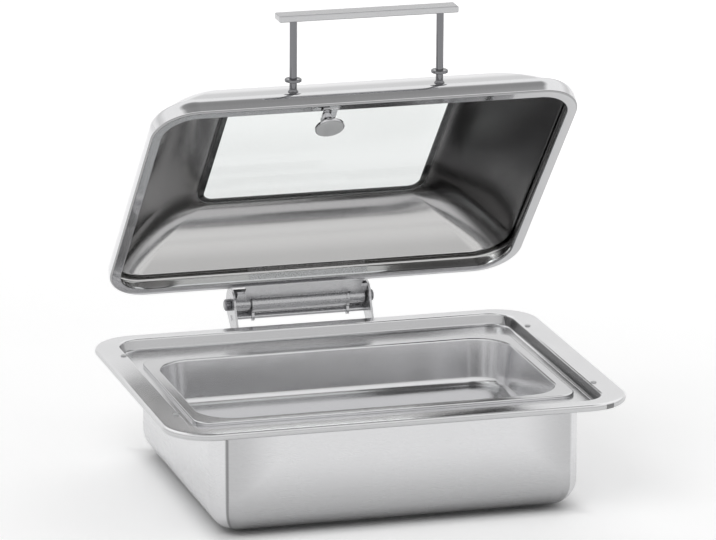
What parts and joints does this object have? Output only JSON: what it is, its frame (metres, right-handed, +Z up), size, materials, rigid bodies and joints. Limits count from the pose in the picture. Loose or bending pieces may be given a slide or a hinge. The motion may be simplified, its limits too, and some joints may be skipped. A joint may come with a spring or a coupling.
{
  "type": "chafing dish",
  "caption": "Rectangular steel chafing dish with a wide polished rim, lift-out food pan and a rear-hinged domed lid with glass window and bar handle.",
  "frame": {"origin": "middle of the flat underside, on the table, under the middle of the rim", "axes": "+Z up, -Y to the front where the handle and the opening lid face, +X to the right seen from the front"},
  "size_m": [0.64, 0.583, 0.6702],
  "materials": {
    "satin_steel": "satin, softly grained",
    "polished_steel": "bright polished",
    "pan_steel": "bright drawn",
    "handle_steel": "satin bar on polished posts",
    "hinge_steel": "satin plate",
    "fastener_steel": "plain bright",
    "bright_chrome": "mirror bright",
    "window_glass": "clear tempered",
    "grey_silicone": "matt moulded",
    "black_silicone": "matt moulded",
    "bush_plastic": "moulded",
    "core_aluminium": "mill"
  },
  "bodies": {
    "base": {"body_shell": "satin_steel", "base_cap": "satin_steel", "base_core": "core_aluminium", "rim_frame": "polished_steel", "rim_pads": "grey_silicone", "hinge_bracket": "hinge_steel", "bracket_studs": "fastener_steel", "bracket_nuts": "fastener_steel", "hinge_bushes": "bush_plastic", "damper_barrel": "hinge_steel", "damper_caps": "hinge_steel", "stop_rod": "fastener_steel", "hinge_cover": "hinge_steel"},
    "lid": {"lid_shell": "polished_steel", "glass_pane": "window_glass", "window_gasket": "black_silicone", "lid_hinge_plate": "hinge_steel", "lid_backing_plate": "hinge_steel", "hinge_plate_screws": "fastener_steel", "hinge_pin": "fastener_steel", "hinge_pin_caps": "bright_chrome", "hinge_washers": "bush_plastic", "bumper_strap": "polished_steel", "bumper_cup": "bright_chrome", "bumper_pad": "grey_silicone", "handle_post_left": "bright_chrome", "handle_post_right": "bright_chrome", "handle_bar": "handle_steel", "handle_bar_studs": "fastener_steel", "handle_collars": "bright_chrome", "handle_rosettes": "bright_chrome", "handle_screws": "fastener_steel", "handle_washers": "black_silicone"},
    "pan": {"food_pan": "pan_steel"}
  },
  "joints": [
    {"name": "lid_hinge", "type": "hinge", "parent": "base", "child": "lid", "pos_m": [0, 0.304, 0.177], "axis": [-1, 0, 0], "range_deg": [-45.5, 44.5]},
    {"name": "pan_lift", "type": "slide", "parent": "base", "child": "pan", "axis": [0, 0, 1], "range_m": [0, 0.055]}
  ]
}
